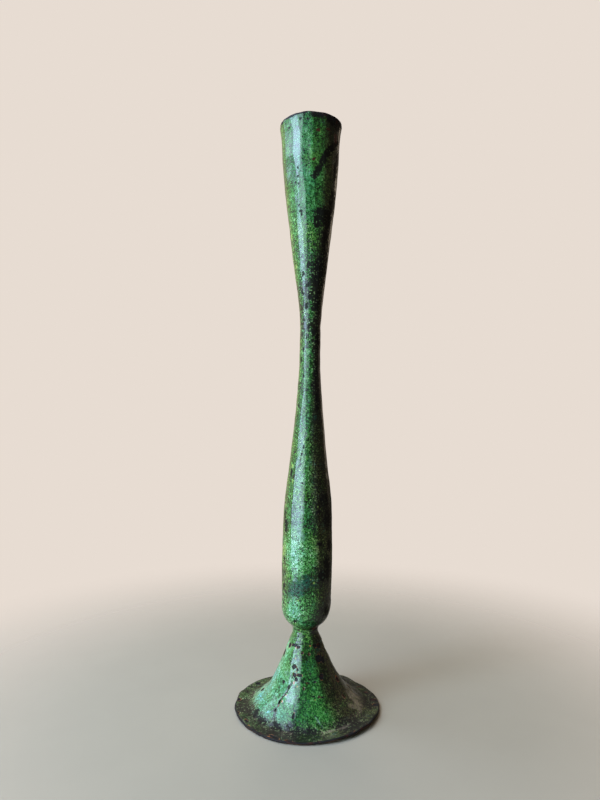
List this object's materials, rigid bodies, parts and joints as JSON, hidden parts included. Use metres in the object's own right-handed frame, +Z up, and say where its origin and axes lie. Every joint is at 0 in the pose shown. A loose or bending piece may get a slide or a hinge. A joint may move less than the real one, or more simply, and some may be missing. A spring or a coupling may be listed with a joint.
{
  "type": "candlestick",
  "caption": "Tall welded sheet-iron candlestick with a flared foot, round-ended tapering stem and trumpet socket holding a candle cup.",
  "frame": {"origin": "centre of the circle that the foot rests on, at table height", "axes": "+Z up along the stem, +X to the right and +Y to the back as seen from the front"},
  "size_m": [0.0854, 0.0854, 0.35],
  "materials": {
    "green_patina": "waxed, mottled",
    "seam_patina": "waxed, darker",
    "dark_iron": "waxed"
  },
  "bodies": {
    "root": {"foot": "green_patina", "foot_seam_weld": "seam_patina", "foot_ring_weld": "seam_patina", "neck": "green_patina", "neck_braze": "seam_patina", "stem_cap": "green_patina", "cap_ring_weld": "seam_patina", "stem_tube": "green_patina", "stem_seam_weld": "seam_patina", "waist_ring_weld": "seam_patina", "socket_trumpet": "green_patina", "socket_seam_weld": "seam_patina", "candle_cup": "dark_iron", "cup_braze": "dark_iron"}
  },
  "joints": []
}
